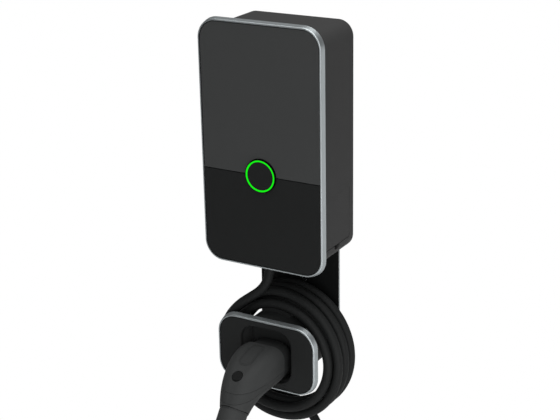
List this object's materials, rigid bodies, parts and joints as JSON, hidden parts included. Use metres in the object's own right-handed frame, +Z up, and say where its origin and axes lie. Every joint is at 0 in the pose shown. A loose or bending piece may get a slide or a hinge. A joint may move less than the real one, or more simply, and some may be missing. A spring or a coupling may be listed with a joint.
{
  "type": "wall-mounted vehicle charger",
  "caption": "Wall charger for electric cars: slim dark box with silver trim and green ring button above a plug dock that carries the coiled charging cable.",
  "frame": {"origin": "centre of the wall hole pattern, on the wall plane, level with the middle of the box", "axes": "+X to the right seen from the front, +Y into the wall, +Z up; the front faces -Y"},
  "size_m": [0.199, 0.2658, 0.7211],
  "materials": {
    "upper_panel": "fine matt texture",
    "lower_panel": "fine satin texture",
    "housing": "fine moulded grain",
    "carrier": "moulded",
    "silver_trim": "satin",
    "button": "smooth satin",
    "luminous_ring": "lit green diffuser",
    "seal_rubber": "matt",
    "screw_steel": "zinc plated",
    "board": "solder mask",
    "relay": "moulded",
    "sensor": "potted",
    "terminal": "moulded",
    "gland": "moulded nylon",
    "bracket": "black powder coat",
    "dock": "fine moulded grain",
    "holster": "soft touch",
    "plug_black": "moulded",
    "contact_metal": "silver plated",
    "handle": "fine moulded grain",
    "handle_soft": "soft touch",
    "cable": "matt sheath"
  },
  "bodies": {
    "wallbox": {"wall_bracket": "bracket", "bracket_screws": "screw_steel", "rear_housing": "housing", "side_cover_left": "housing", "side_cover_right": "housing", "cover_seal": "seal_rubber", "front_carrier": "carrier", "cover_screws": "screw_steel", "trim_frame": "silver_trim", "upper_panel": "upper_panel", "lower_panel": "lower_panel", "ring_bezel": "carrier", "light_ring": "luminous_ring", "led_board": "board", "switch_board": "board", "main_board": "board", "board_screws": "screw_steel", "relays": "relay", "current_sensor": "sensor", "power_supply": "relay", "supply_terminal": "terminal", "charging_gland": "gland", "charging_gland_nut": "gland", "supply_gland": "gland", "supply_gland_nut": "gland", "coil_drum": "dock", "drum_screws": "screw_steel", "dock_face": "dock", "dock_trim": "silver_trim", "holster_insert": "holster", "plug_nose": "plug_black", "plug_contacts": "contact_metal", "handle_top_shell": "handle", "handle_seam_band": "handle_soft", "handle_bottom_shell": "handle", "handle_inlay": "handle_soft", "cable_sleeve": "handle", "strain_relief": "handle_soft", "cable_lead": "cable", "cable_coil": "cable", "cable_tail": "cable"},
    "start_button": {"start_button": "button"},
    "release_button": {"release_button": "plug_black"}
  },
  "joints": [
    {"name": "start_press", "type": "slide", "parent": "wallbox", "child": "start_button", "axis": [0, 1, 0], "range_m": [0, 0.0015], "stiffness_N_per_m": 1500},
    {"name": "release_press", "type": "slide", "parent": "wallbox", "child": "release_button", "axis": [0, 0.4067, -0.9135], "range_m": [0, 0.002], "stiffness_N_per_m": 1500}
  ]
}
